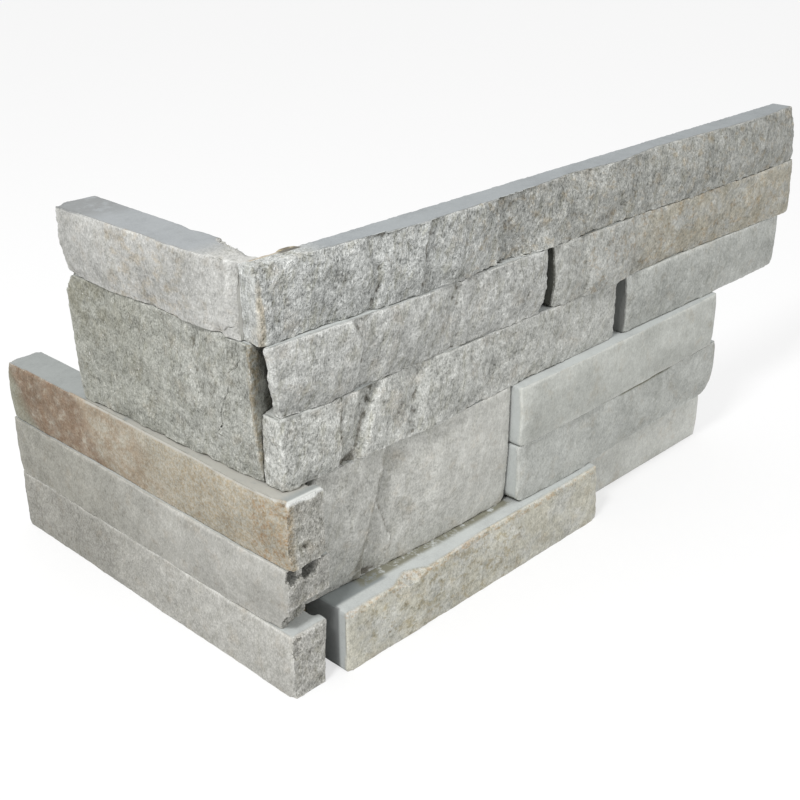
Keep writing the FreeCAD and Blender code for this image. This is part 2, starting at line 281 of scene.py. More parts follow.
def relief_texture(name, basis, noise):
    """A cloud texture whose bumps are one unit wide; the empty gives them their real size."""
    texture = bpy.data.textures.new(name, "CLOUDS")
    texture.noise_basis = basis
    texture.noise_type = noise
    texture.noise_scale = 1.0
    texture.noise_depth = 1
    return texture


textures = {layer[0]: relief_texture(*layer[:3]) for layer in RELIEF}
bpy.ops.object.select_all(action="DESELECT")
bpy.ops.object.empty_add()
gauge = bpy.context.active_object


def displace(piece, layer, number):
    """Applies one layer of relief to a strip."""
    name, _, _, (along, out, up), lean, strength, level, group = layer
    on_short = on_short_leg(piece.name)
    size = (out, along, up) if on_short else (along, out, up)
    turn = (math.radians(lean), 0, 0) if on_short else (0, math.radians(lean), 0)
    gauge.location = PATTERN_STEP * (0 if name in BROAD else number + 1)
    gauge.scale = Vector(size) * MM
    gauge.rotation_euler = turn
    bpy.context.view_layer.update()
    only(piece)
    bumps = piece.modifiers.new(name, "DISPLACE")
    bumps.texture = textures[name]
    bumps.texture_coords = "OBJECT"
    bumps.texture_coords_object = gauge
    bumps.vertex_group = group
    bumps.strength = strength * (COARSEST if group == "split" else STRIPS[piece.name][2]) * MM
    bumps.mid_level = level
    bpy.ops.object.modifier_apply(modifier=name)


for number, piece in enumerate(pieces.values()):
    for layer in RELIEF:
        displace(piece, layer, number)
bpy.data.objects.remove(gauge)
print("layers of relief on each strip:", len(RELIEF))

# %% [markdown]
# Some forms belong to one place: a step where a slab of rock came off, a fold that crosses two
# courses. Each follows a line on the face of a strip. The rock sinks by the full depth beside
# the line and comes back over a width on either side, and a small width makes a sharp edge.
# The weights go into a vertex group, and one Displace modifier pushes the face in by them.

# %% Steps and folds
# strip, depth in mm, widths before and after the line in mm, and the line as along and up
FORMS = [
    ("long_strip_1", 2.4, 0.9, 34, [(97.0, 151), (95.8, 137), (97.4, 133), (97.1, 129), (96.5, 124)]),
    ("long_strip_1", 1.2, 9, 2.4, [(40, 151), (36, 143), (37, 135), (33, 124)]),
    ("long_strip_1", 1.2, 1.8, 12, [(62, 151), (58, 141), (56, 124)]),
    ("long_strip_1", 1.6, 4, 4, [(163, 130), (172, 132)]),
    ("long_strip_1", -2.2, 8, 8, [(99, 123), (126, 123)]),
    ("long_strip_2_corner", 1.3, 14, 2.2, [(74, 123), (73.7, 118), (74.4, 112), (75.1, 99)]),
    ("long_strip_2_corner", 1.1, 2, 12, [(24, 126), (28, 116), (25, 99)]),
    ("long_strip_2_outer", 0.9, 10, 3, [(150, 126), (146, 118), (150, 110), (147, 99)]),
    ("long_strip_2_outer", 0.8, 3, 16, [(180, 126), (184, 114), (182, 99)]),
    ("long_strip_3_corner", 1.2, 1.4, 7, [(18.0, 101), (18.3, 96), (15.9, 89.5), (17.1, 82), (16.9, 74)]),
    ("long_strip_3_corner", 3.2, 9, 4.0, [(34.3, 102), (30.4, 94), (26.1, 86.6), (23.1, 79), (20.5, 74)]),
    ("long_strip_3_corner", 1.2, 7, 2.5, [(58, 101), (52, 88), (50, 76)]),
    ("long_strip_4_5_corner", 3.6, 1.2, 12,
     [(41, 76), (38, 66), (35, 59), (33.7, 55), (30.7, 47), (28.4, 35), (28, 24)]),
    ("long_strip_4_5_corner", 1.2, 2.0, 7, [(35.7, 57), (37.6, 50), (40.6, 39)]),
    ("long_strip_4_5_corner", 1.0, 6, 5, [(50, 76), (64, 72.5), (76, 71)]),
    ("short_strip_1", 1.5, 5, 5, [(0, 147), (0, 129)]),
    ("short_strip_1", 0.7, 2.5, 8, [(8, 151), (6, 141), (11, 133), (9, 124)]),
    ("short_strip_1", 0.6, 10, 3, [(44, 151), (49, 140), (46, 124)]),
    ("short_strip_2_3", 1.0, 9, 2.5, [(26, 126), (23.5, 104), (22, 95), (29, 85), (36, 74)]),
    ("short_strip_2_3", 0.7, 3, 12, [(52, 126), (56, 108), (52, 92)]),
    ("short_strip_2_3", 0.6, 9, 3, [(78, 126), (74, 108), (80, 84)]),
]


def beside(places, line):
    """How far each (along, up) place lies from a line of straight runs; plus on its far side."""
    nearest = np.full(len(places), np.inf)
    signed = np.zeros(len(places))
    for start, end in zip(line, line[1:]):
        run = np.subtract(end, start)
        part = np.clip((places - start) @ run / (run @ run), 0, 1)
        gap = places - start - part[:, None] * run
        distance = np.hypot(gap[:, 0], gap[:, 1])
        closer = distance < nearest
        nearest[closer] = distance[closer]
        across = gap[:, 0] * run[1] - gap[:, 1] * run[0]
        signed[closer] = (distance * np.sign(across) * (-1 if run[1] < 0 else 1))[closer]
    return signed


for name, depth, before, after, line in FORMS:
    piece = pieces[name]
    on_short = on_short_leg(name)
    points = read(piece.data, piece.data.vertices, "co") / MM
    facing = read(piece.data, piece.data.vertex_normals, "vector")
    distance = beside(points[:, [1, 2] if on_short else [0, 2]], line)
    weights = np.where(distance < 0, 1 - ease(-distance, 0, before), 1 - ease(distance, 0, after))
    add_group(piece, "form", weights * ease(-facing[:, 0 if on_short else 1], 0.3, 0.8))
    only(piece)
    form = piece.modifiers.new("form", "DISPLACE")
    form.direction = "X" if on_short else "Y"
    form.vertex_group = "form"
    form.strength = depth * MM
    form.mid_level = 0
    bpy.ops.object.modifier_apply(modifier="form")
    piece.vertex_groups.remove(piece.vertex_groups["form"])
print("steps and folds:", len(FORMS))

# %% [markdown]
# Cracks open near the corner. A crack is a curve of short straight runs with a thin square
# section, which is turned into a mesh and cut out of the strip. A ray finds how far out the
# rock stands at each point of it. The tool carries a coarseness of its own, so that the rock
# inside the cut is as grainy as a fresh break.

# %% Cracks
# strip, radius of the widest part in mm, and the line as along and up
CRACKS = [
    ("short_strip_1", 0.6,
     [(-0.2, 136.0), (-0.3, 131.7), (2.2, 129.4), (4.4, 128.8), (6.3, 127.3), (7.2, 124.6)]),
    ("short_strip_2_3", 0.75, [(1.4, 118.2), (2.6, 115.6), (5.2, 113.9), (6.6, 112.6)]),
    ("short_strip_2_3", 0.5,
     [(7.2, 108.2), (8.0, 105.2), (10.3, 102.0), (12.3, 97.0), (12.7, 92.2), (15.7, 88.7)]),
    ("short_strip_2_3", 0.45, [(17.8, 89.2), (13.8, 87.7), (8.9, 85.8)]),
    ("long_strip_1", 0.5, [(97.7, 137.5), (95.8, 136.2), (97.4, 132.8), (97.1, 129.2), (96.5, 124.5)]),
    ("long_strip_1", 0.3, [(5.8, 150.0), (9.1, 149.0), (11.9, 148.6)]),
    ("long_strip_3_corner", 0.5, [(17.5, 78.6), (19.7, 76.4), (20.8, 74.0)]),
    ("long_strip_4_5_corner", 0.4, [(34.7, 60.7), (33.7, 55.2), (31.4, 50.4)]),
]
CRACK_CELL = 0.12 * MM
# The coarseness inside a crack or a scar
FRESH_ROCK = 1.3
# A point well outside the panel, in metres, from which a ray looks for a face
OUTSIDE = -0.05


def cut(piece, tool):
    """Takes the tool's shape out of the piece and removes the tool."""
    only(piece)
    taken = piece.modifiers.new("taken", "BOOLEAN")
    taken.object = tool
    taken.operation = "DIFFERENCE"
    taken.solver = "MANIFOLD"
    bpy.ops.object.modifier_apply(modifier="taken")
    bpy.data.objects.remove(tool)


def on_face(piece, along, up):
    """The point of the split face at this place along the strip and this height, in metres."""
    if on_short_leg(piece.name):
        start, inward = Vector((OUTSIDE, along * MM, up * MM)), Vector((1, 0, 0))
    else:
        start, inward = Vector((along * MM, OUTSIDE, up * MM)), Vector((0, 1, 0))
    hit, place, *_ = piece.ray_cast(start, inward)
    return place if hit else None


def crack_tool(piece, width, line):
    """A thin tube along the line, widest in the middle."""
    places = [on_face(piece, along, up) for along, up in line]
    places = [place for place in places if place]
    curve = bpy.data.curves.new("crack", "CURVE")
    curve.dimensions = "3D"
    curve.bevel_depth = width * MM
    curve.bevel_resolution = 0
    curve.use_fill_caps = True
    spline = curve.splines.new("POLY")
    spline.points.add(len(places) - 1)
    for number, (point, place) in enumerate(zip(spline.points, places)):
        point.co = (*place, 1)
        point.radius = 0.35 if number in (0, len(places) - 1) else 1
    tool = bpy.data.objects.new("crack", curve)
    bpy.context.scene.collection.objects.link(tool)
    only(tool)
    bpy.ops.object.convert(target="MESH")
    tool = bpy.context.active_object
    cells = tool.modifiers.new("cells", "REMESH")
    cells.mode = "VOXEL"
    cells.voxel_size = CRACK_CELL
    bpy.ops.object.modifier_apply(modifier="cells")
    store(tool, "coarseness", np.full(len(tool.data.vertices), FRESH_ROCK))
    return tool


for name, width, line in CRACKS:
    cut(pieces[name], crack_tool(pieces[name], width, line))
print("cracks:", len(CRACKS))

# %% [markdown]
# A few arrises have scars where a piece has gone, and one strip has lost the foot of its end.
# A scar is cut with a squashed ball. A ball leaves a smooth dish, and stone never breaks so, so
# two layers of bumps make its skin lumpy first.

# %% Scars
# strip, centre and radii in mm
SCARS = [
    ("short_strip_5", (-12.0, -20.6, 47.2), (2.8, 4.4, 4.0)),
    ("short_strip_5", (-5.0, -20.6, 48.6), (4.4, 4.8, 4.8)),
    ("short_strip_5", (-1.0, -20.5, 26.0), (17.0, 10.0, 10.5)),
    ("short_strip_6", (-12.0, -20.6, 20.0), (2.2, 2.6, 4.6)),
    ("long_strip_2_corner", (125.0, -14.0, 101.0), (3.4, 5.0, 3.0)),
    ("short_strip_1", (0.0, 13.0, 151.0), (4.6, 12.0, 3.0)),
    ("long_strip_1", (-6.0, -10.5, 153.0), (12.0, 6.0, 4.6)),
]
# The skin of the ball: texture, size of its bumps and strength in mm
SKIN = [("lumps", 3.5, 2.2), ("crumbs", 1.1, 1.0)]


def scar_tool(centre, radii):
    """A lumpy squashed ball with a gritty skin."""
    bpy.ops.object.select_all(action="DESELECT")
    bpy.ops.mesh.primitive_ico_sphere_add(subdivisions=6, radius=1)
    tool = bpy.context.active_object
    bpy.ops.object.mode_set(mode="EDIT")
    bpy.ops.mesh.select_all(action="SELECT")
    bpy.ops.transform.resize(value=Vector(radii) * MM)
    bpy.ops.transform.translate(value=Vector(centre) * MM)
    bpy.ops.object.mode_set(mode="OBJECT")
    for texture, _, strength in SKIN:
        skin = tool.modifiers.new(texture, "DISPLACE")
        skin.texture = textures[texture]
        skin.strength = strength * MM
        bpy.ops.object.modifier_apply(modifier=texture)
    store(tool, "coarseness", np.full(len(tool.data.vertices), FRESH_ROCK))
    return tool


for name, bump, _ in SKIN:
    textures[name] = relief_texture(name, "VORONOI_F1", "SOFT_NOISE")
    textures[name].noise_scale = bump * MM
for name, centre, radii in SCARS:
    cut(pieces[name], scar_tool(centre, radii))
print("scars:", len(SCARS))

# %% [markdown]
# The finish needs to know where the rock is split, worn and hollow, and which sawn faces look
# up. A material can't read a vertex group, so the weights are written as named attributes. The
# hollows come from the mesh itself: each vertex is compared with a smoothed copy, and lies in a
# hollow if the copy is further out.

# %% Attributes for the finish
# Two faces that meet at more than this angle keep a sharp edge
CREASE = math.radians(50)


def group_weights(piece, name):
    """The weights of a vertex group as an array."""
    index = piece.vertex_groups[name].index
    weights = [[g.weight for g in v.groups if g.group == index] for v in piece.data.vertices]
    return np.array([w[0] if w else 0.0 for w in weights])


for piece in pieces.values():
    mesh = piece.data
    points = read(mesh, mesh.vertices, "co")
    facing = read(mesh, mesh.vertex_normals, "vector")
    gap = ((smoothed(points, ends_of_edges(mesh), rounds=6) - points) * facing).sum(1) / MM
    store(piece, "hollow", np.clip(0.5 + gap * 1.2, 0, 1))
    store(piece, "rough_side", 1 - group_weights(piece, "sawn"))
    store(piece, "upper_bed", ease(facing[:, 2], 0.5, 0.8))
    store(piece, "worn_edge", group_weights(piece, "arris"))
    only(piece)
    bpy.ops.object.shade_smooth_by_angle(angle=CREASE)
print("attributes:", [a.name for a in mesh.attributes if a.data_type == "FLOAT"])

# %% [markdown]
# Materials are written as sums. The class below wraps a socket, so that an expression such as
# 1 - mask adds the Math node that works it out. Every other node comes from one method, which
# takes the node's type, its settings and the values or links of its sockets.

# %% Shader sums


class Signal:
    """A socket that does sums."""

    def __init__(self, finish, socket):
        self.finish = finish
        self.socket = socket

    def math(self, operation, other, swapped=False):
        """Adds a Math node that works on this signal and another signal or number."""
        pair = (other, self) if swapped else (self, other)
        return self.finish.node("ShaderNodeMath", {"operation": operation}, dict(enumerate(pair)))

    def __add__(self, other):
        return self.math("ADD", other)

    def __sub__(self, other):
        return self.math("SUBTRACT", other)

    def __rsub__(self, other):
        return self.math("SUBTRACT", other, swapped=True)

    def __mul__(self, other):
        return self.math("MULTIPLY", other)

    __radd__ = __add__
    __rmul__ = __mul__


def display(red, green, blue):
    """A colour as a screen shows it, 0 to 255, in the linear values that sockets take."""
    parts = [c / 255 for c in (red, green, blue)]
    return tuple(c / 12.92 if c < 0.04045 else ((c + 0.055) / 1.055) ** 2.4 for c in parts) + (1,)


IN_MM = (1000, 1000, 1000)


class Finish:
    """A material in the making."""

    def __init__(self, name, shift):
        self.material = bpy.data.materials.new(name)
        self.material.use_nodes = True
        self.tree = self.material.node_tree
        self.shader = self.tree.nodes["Principled BSDF"]
        place = self.node("ShaderNodeTexCoord", output="Object")
        self.place = self.node("ShaderNodeMapping", {}, {"Vector": place, "Scale": IN_MM})
        moved = (shift, shift * 2, shift * 3)
        self.pattern_place = self.node(
            "ShaderNodeMapping", {}, {"Vector": place, "Location": moved, "Scale": IN_MM})
        split = self.node("ShaderNodeSeparateXYZ", {}, {"Vector": self.place})
        self.x, self.y, self.z = [Signal(self, split.socket.node.outputs[i]) for i in range(3)]

    def node(self, kind, settings=None, inputs=None, output=0):
        """Adds a node, sets it, then gives its sockets their values or links."""
        made = self.tree.nodes.new(kind)
        for name, value in (settings or {}).items():
            if name == "stops":
                self.set_stops(made.color_ramp, value)
            else:
                setattr(made, name, value)
        for key, value in (inputs or {}).items():
            self.connect(value, made.inputs[key])
        return Signal(self, made.outputs[output])

    def set_stops(self, ramp, stops):
        """Gives a colour ramp its stops, each a position and a colour."""
        while len(ramp.elements) < len(stops):
            ramp.elements.new(0.5)
        for element, (position, colour) in zip(ramp.elements, stops):
            element.position = position
            element.color = colour

    def connect(self, value, socket):
        """Links a signal to a socket, or sets the socket to a plain value."""
        if isinstance(value, Signal):
            self.tree.links.new(value.socket, socket)
        else:
            socket.default_value = value

    def attribute(self, name):
        """A named attribute of the mesh as a number."""
        return self.node("ShaderNodeAttribute", {"attribute_name": name}, {}, "Fac")

    def ease(self, value, low, high):
        """A smooth step from 0 at low to 1 at high."""
        return self.node("ShaderNodeMapRange", {"interpolation_type": "SMOOTHSTEP"},
                         {"Value": value, "From Min": low, "From Max": high})

    def noise(self, size, lean=0.0, detail=2.0, roughness=0.5, turned=False):
        """Noise whose bumps have this size along, out and up, in mm, from 0 to 1."""
        along, out, up = size
        size = (out, along, up) if turned else (along, out, up)
        turn = (math.radians(lean), 0, 0) if turned else (0, math.radians(lean), 0)
        scaled = self.node("ShaderNodeMapping", {"vector_type": "TEXTURE"},
                           {"Vector": self.pattern_place, "Rotation": turn, "Scale": size})
        return self.node("ShaderNodeTexNoise", {},
                         {"Vector": scaled, "Scale": 1.0, "Detail": detail, "Roughness": roughness})

    def blend(self, factor, first, second, blend_type="MIX"):
        """Mixes two colours."""
        return self.node("ShaderNodeMix", {"data_type": "RGBA", "blend_type": blend_type},
                         {0: factor, 6: first, 7: second}, 2)


print("display grey 170 is", round(display(170, 170, 170)[0], 3))

# %% [markdown]
# The rock is a pale grey quartzite. Its grain shows as fine upright streaks of quartz and mica.
# The finish darkens the hollows of the relief and lightens its ridges, partly as dirt and wear
# and partly as painted shade. Small dark flecks are scattered over it, and white flecks that are
# painted glints. Slots and hairline joints get painted shade from how near other rock lies. The
# sawn faces are smooth, bluer and plainer. One function makes the finish, so that all strips are
# plainly of one kind of rock, and it takes what differs from strip to strip: a grey, a share of
# the pattern, stains and marks.

# %% The quartzite
# The colour of the backs and ends, which are all alike
SAWN_BACK = (206, 210, 208)
# How much of what lies under it a mark covers
MARK_COVER = 0.92
# How far away other rock reaches to paint shade on a place, for slots and for hairline joints
SLOT_SHADE_REACH = 8 * MM
JOINT_SHADE_REACH = 1.2 * MM
GRAIN_DEPTH = 1.7 * MM


def quartzite(name, grey, shift, turned, stains, marks, sawn):
    """The finish of one strip.

    A stain or a mark is a colour and the function for its mask. A stain darkens the split rock
    only, and a mark lies over rock and saw cut alike. Sawn is the colour of the upper bed.
    """
    rock = Finish(name, shift)
    rough = rock.attribute("rough_side")
    worn = rock.attribute("worn_edge")
    hollow = rock.attribute("hollow")
    coarse = rock.attribute("coarseness")

    def tone(amount):
        return display(*[max(0, min(255, c + amount)) for c in grey])

    clouds = rock.noise((20, 20, 14), 16, 2, 0.5, turned)
    grain = rock.noise((5, 5, 4.2), 12, 4, 0.95, turned)
    streaks = rock.noise((1.2, 1.2, 2.8), 14, 3, 0.7, turned)
    fibres = rock.noise((0.55, 0.55, 1.0), 14, 1, 0.5, turned)
    contrast = 0.3 + 0.7 * coarse
    # The hollow term darkens hollows and lightens ridges of the relief: partly dirt and wear, partly painted
    # shade
    level = (0.53 + ((grain - 0.5) * 1.15 + (streaks - 0.5) * 0.4) * contrast
             + (fibres - 0.5) * (coarse * 0.6 + 0.22) + (clouds - 0.5) * 0.42 + (0.5 - hollow) * 0.3)
    tones = [(0.0, tone(-85)), (0.25, tone(-36)), (0.5, tone(0)), (0.75, tone(28)), (1.0, tone(60))]
    colour = rock.node("ShaderNodeValToRGB", {"stops": tones}, {"Fac": level})
    warm = rock.noise((9, 9, 9), 0, 3, 0.7, turned)
    warm_cover = rock.ease(warm, 0.52, 0.75) * 0.3
    colour = rock.blend(warm_cover, colour, display(222, 204, 180), "MULTIPLY")
    veins = rock.noise((2.4, 2.4, 9), 22, 3, 0.7, turned)
    vein_cover = rock.ease(veins, 0.5, 0.66) * coarse * 0.4
    colour = rock.blend(vein_cover, colour, display(206, 204, 190), "MULTIPLY")
    for tint, mask in stains:
        colour = rock.blend(mask(rock), colour, display(*tint), "MULTIPLY")
    # White flecks that stand in for glints of mica: painted glints
    flecks = rock.noise((0.8, 0.8, 0.8), 0, 0, 0.5, turned)
    painted_glint = rock.ease(flecks, 0.76, 0.82) * rock.ease(warm, 0.5, 0.62) * coarse * 0.7
    colour = rock.blend(painted_glint, colour, display(238, 240, 240))
    saw = rock.noise((14, 14, 10), 0, 4, 0.7, turned)
    smooth = rock.blend(rock.attribute("upper_bed"), display(*SAWN_BACK), display(*sawn))
    shades = [(0.2, display(204, 204, 204)), (0.5, display(240, 240, 240)), (0.8, display(255, 255, 255))]
    dust = saw * 0.45 + grain * 0.3 + fibres * 0.25
    shade = rock.node("ShaderNodeValToRGB", {"stops": shades}, {"Fac": dust})
    smooth = rock.blend(1.0, smooth, shade, "MULTIPLY")
    colour = rock.blend(rough, smooth, colour)
    for tint, mask in marks:
        colour = rock.blend(mask(rock) * MARK_COVER, colour, display(*tint))
    open_air = rock.node("ShaderNodeAmbientOcclusion", {"samples": 4}, {"Distance": SLOT_SHADE_REACH}, "AO")
    off_joint = rock.node("ShaderNodeAmbientOcclusion", {"samples": 4}, {"Distance": JOINT_SHADE_REACH}, "AO")
    bruise = rock.ease(worn, 0.3, 0.9) * rock.ease(grain, 0.42, 0.6) * rock.ease(open_air, 0.6, 0.9)
    colour = rock.blend(bruise * 0.4, colour, display(216, 217, 214))
    # Darker in the hollows of the relief: partly dirt, partly painted shade
    hollow_dirt_and_shade = rock.ease(hollow, 0.72, 0.95) * 0.6
    colour = rock.blend(hollow_dirt_and_shade, colour, display(150, 140, 124), "MULTIPLY")
    # Painted shade in hairline joints, darker where other rock is near
    joint_shade = (1 - rock.ease(off_joint, 0.1, 0.6)) * 0.35
    colour = rock.blend(joint_shade, colour, display(176, 168, 154), "MULTIPLY")
    # Painted shade in slots and crevices, darker where other rock is near
    slot_shade = 1 - rock.ease(open_air, 0.02, 0.28)
    colour = rock.blend(slot_shade, colour, display(84, 82, 74), "MULTIPLY")
    rock.connect(colour, rock.shader.inputs["Base Color"])
    rock.connect(0.85 - 0.2 * rock.ease(grain, 0.5, 0.7), rock.shader.inputs["Roughness"])
    height = (grain * 0.65 + streaks * 0.2 + fibres * 0.15) * (rough * 0.85 + 0.15)
    depth = coarse * GRAIN_DEPTH
    bump = rock.node("ShaderNodeBump", {}, {"Height": height, "Strength": 0.9, "Distance": depth})
    rock.connect(bump, rock.shader.inputs["Normal"])
    rock.shader.inputs["IOR"].default_value = 1.45
    return rock.material


print("the grain is", round(GRAIN_DEPTH / MM, 1), "mm deep where the coarseness is 1")

# %% [markdown]
# A panel is glued up from strips of several slabs, so no two neighbours have quite the same
# grey. The middle tone of each strip is set here, and the finish works out its other tones.

# %% The grey of each strip
GREYS = {
    "short_strip_1": (180, 180, 176),
    "short_strip_2_3": (168, 169, 162),
    "short_strip_4": (172, 171, 164),
    "short_strip_5": (172, 171, 165),
    "short_strip_6": (181, 180, 174),
    "long_strip_1": (186, 188, 185),
    "long_strip_2_corner": (186, 187, 183),
    "long_strip_2_outer": (178, 179, 174),
    "long_strip_3_corner": (188, 189, 184),
    "long_strip_3_outer": (179, 181, 176),
    "long_strip_4_5_corner": (200, 200, 194),
    "long_strip_4_outer": (189, 191, 185),
    "long_strip_5_outer": (182, 184, 179),
    "long_strip_6_ledge": (200, 200, 193),
    "long_strip_6_outer": (208, 209, 203),
}
# The upper beds that show, as the saw left them
SAWN_BED = (214, 218, 216)
SAWN_BEDS = {
    "short_strip_1": (168, 172, 174),
    "long_strip_1": (166, 171, 173),
    "short_strip_4": (166, 170, 168),
    "long_strip_4_outer": (212, 216, 214),
}
print("greys:", len(GREYS), "sawn beds of their own:", len(SAWN_BEDS))

# %% [markdown]
# Iron in the rock leaves tan and rust-coloured stains on some strips, and a few fade to grey
# along their length. One entry is no stain but painted shade on the steep wall of a crease. A
# stain is a colour that the rock is multiplied by, inside a mask. The masks are sums of places
# and noise, which keeps a stain where it is on the real strip and gives it a ragged edge.

# %% Stains, and painted shade in a crease


def between(rock, value, low, high, soft):
    """1 where the value lies between low and high, fading over a soft width outside them."""
    return rock.ease(value, low - soft, low) * (1 - rock.ease(value, high, high + soft))


def patches(rock, size, low, high):
    """Patches of about this size in mm. The closer low and high are, the sharper their edges."""
    return rock.ease(rock.noise((size, size, size * 0.7), 10, 3, 0.7), low, high)


def rust_face(rock):
    """The split face of the rust-coloured strip without its ends."""
    return rock.ease(rock.x * -1, 9, 12)


def rust_run(rock):
    """The place along the rust-coloured strip, on the slant of its bands of iron."""
    return rock.y + rock.z * -0.6


def fold_run(rock):
    """The distance across the long crease at the near end of the tall stone of the long leg, where shade is
    painted.
    """
    return rock.x + rock.z * -0.33


# Places are in mm: x along the long leg, y along the short leg, z up
STAINS = {
    "short_strip_1": [
        ((248, 240, 228), lambda r: between(r, r.y, 28, 60, 10) * patches(r, 5, 0.45, 0.7)),
    ],
    "short_strip_2_3": [
        ((226, 212, 192), lambda r: r.ease(r.y * -1, 2.2, 3.6) * patches(r, 3, 0.35, 0.6)),
        ((226, 223, 214), lambda r: r.ease(r.y, 40, 90) * r.ease(r.z, 95, 115) * patches(r, 9, 0.35, 0.65)),
        ((243, 243, 240), lambda r: r.ease(r.y, 20, 60)),
    ],
    "short_strip_4": [
        ((255, 251, 243), lambda r: rust_face(r) * (1 - r.ease(rust_run(r), 96, 104))),
        ((220, 222, 212), lambda r: rust_face(r) * r.ease(rust_run(r), 97, 104)),
        ((238, 234, 228), lambda r: rust_face(r) * patches(r, 1.2, 0.46, 0.62)),
        ((230, 216, 204), lambda r: rust_face(r) * between(r, rust_run(r), 30, 96, 24)
            * patches(r, 7, 0.3, 0.62)),
        ((216, 202, 194), lambda r: rust_face(r) * between(r, rust_run(r), 60, 97, 10)
            * patches(r, 4, 0.2, 0.56)),
        ((244, 232, 215), lambda r: rust_face(r) * (1 - r.ease(r.y, 20, 90)) * patches(r, 1.8, 0.4, 0.66)),
        ((240, 216, 192), lambda r: between(r, r.y, -17.5, -6, 8) * r.ease(r.x * -1, 11, 13)
            * patches(r, 1.6, 0.4, 0.62) * patches(r, 5, 0.4, 0.58)),
    ],
    "short_strip_5": [((226, 225, 220), lambda r: r.ease(r.y, 10, 120))],
    "short_strip_6": [((218, 217, 214), lambda r: r.ease(r.y, 10, 120))],
    "long_strip_1": [
        ((243, 233, 218), lambda r: between(r, r.x, -11.8, -10.8, 1.0) * r.ease(r.y * -1, 6.5, 8.0)),
        ((237, 236, 233), lambda r: r.ease(r.x, 50, 150)),
        ((246, 246, 246), lambda r: r.ease(r.x, 150, 300)),
        ((246, 236, 222), lambda r: between(r, r.x, 90, 300, 30) * patches(r, 6, 0.5, 0.7)),
    ],
    "long_strip_2_outer": [
        ((252, 245, 232), lambda r: r.ease(r.x, 170, 205) * patches(r, 12, 0.3, 0.6)),
        ((244, 232, 218), lambda r: between(r, r.x, 150, 300, 14) * patches(r, 5, 0.5, 0.68)),
    ],
    "long_strip_4_5_corner": [
        ((238, 238, 238), lambda r: 1 - r.ease(r.x, 30, 60)),
        # Painted shade on the steep wall of the crease, in patches
        ((186, 184, 177), lambda r: r.ease(fold_run(r), 12.5, 14.8) * (1 - r.ease(fold_run(r), 16.0, 19.5))
            * patches(r, 5, 0.3, 0.55)),
    ],
    "long_strip_6_ledge": [
        ((250, 247, 238), lambda r: patches(r, 14, 0.3, 0.6)),
        ((228, 221, 206), lambda r: between(r, r.x, 24, 100, 14) * patches(r, 4, 0.5, 0.66)),
        ((218, 219, 216), lambda r: between(r, r.x, 20, 84, 10) * patches(r, 2.2, 0.54, 0.68)),
        ((241, 224, 207), lambda r: between(r, r.z, 22.8, 24.6, 0.6) * patches(r, 2.6, 0.46, 0.62)),
    ],
}
print("stained strips:", len(STAINS))

# %% [markdown]
# Marks lie over split rock and saw cut alike: resin in the corner joint, painted shade on the
# walls of the slots, in the scars under an overhang and on the ledge, a pale worn top edge with a
# painted highlight, dirt along the foot of the wall on the ledge, and darker or paler places on a
# sawn bed or a broken end. A mark covers what is below it, so it is mixed over the finish and
# not multiplied.

# %% Marks
MARKS = {
    "short_strip_1": [
        ((192, 191, 185), lambda r: 1 - r.ease(r.y, 0.3, 1.2)),
        ((140, 142, 142), lambda r: r.ease(r.z, 149.2, 149.8) * r.ease(r.y, 66, 80)
            * patches(r, 5, 0.3, 0.55)),
    ],
    "long_strip_1": [
        ((196, 184, 164), lambda r: r.ease(r.z, 149.0, 149.6) * r.ease(r.y, -1.6, -1.0)
            * between(r, r.x, -8.5, 2.5, 0.6)),
        ((104, 100, 90), lambda r: r.ease(r.z, 149.0, 149.6) * r.ease(r.y, -2.6, -1.8)
            * between(r, r.x, 3.5, 10.5, 1.5)),
    ],
    # Painted shade on the end wall in the first slot
    "long_strip_2_outer": [((58, 58, 48), lambda r: 1 - r.ease(r.x, 128.9, 129.7))],
    "short_strip_4": [
        # A pale worn top edge at the end, partly a painted highlight
        ((224, 226, 223), lambda r: r.ease(r.z, 73.6, 74.4) * (1 - r.ease(r.y, -17.4, -16.2))),
        ((184, 182, 174), lambda r: r.ease(r.z, 74, 74.6) * between(r, r.y, -12, 92, 4)
            * patches(r, 6, 0.2, 0.5)),
    ],
    "short_strip_5": [
        # Painted shade in the scars under the overhang of the strip above
        ((92, 92, 88), lambda r: r.ease(r.y, -18.4, -17) * r.ease(r.z, 42.5, 44) * r.ease(r.x, -12.8, -12.2)
            * (1 - r.ease(r.x, -1, 0)) * (1 - r.ease(r.y, -14.5, -13))),
    ],
    "long_strip_3_corner": [((214, 216, 211), lambda r: r.ease(r.z, 98.6, 99.4) * (1 - r.ease(r.x, 6, 12)))],
    # Painted shade on the end wall in the second slot
    "long_strip_3_outer": [((100, 101, 98), lambda r: 1 - r.ease(r.x, 179.3, 180.1))],
    "long_strip_5_outer": [
        ((118, 118, 100), lambda r: r.ease(r.z, 48.7, 49.5) * between(r, r.x, 178, 212, 6)
            * patches(r, 5, 0.2, 0.4)),
    ],
    "long_strip_6_ledge": [
        # Painted shadow of the short leg on the near end of the ledge
        ((122, 124, 124), lambda r: (1 - r.ease(r.x, 8.9, 9.6)) * r.ease(r.y, -18.5, -17)),
        # Painted shadow of the short leg's ends on the top of the ledge
        ((140, 146, 146), lambda r: r.ease(r.z, 24, 24.6) * r.ease(r.y, -16.6, -15)
            * between(r, r.x, 4, 32, 4)),
        ((128, 126, 108), lambda r: r.ease(r.z, 24, 24.6) * r.ease(r.y, -15.4, -12.8)
            * between(r, r.x, 26, 104, 4) * patches(r, 3, 0.3, 0.52)),
    ],
}
print("marked strips:", len(MARKS))

# %% [markdown]
# Every strip now gets its finish. The grain is moved a little further for each, so that no two
# show the same part of it. The piece then takes the place of its solid in the frame.

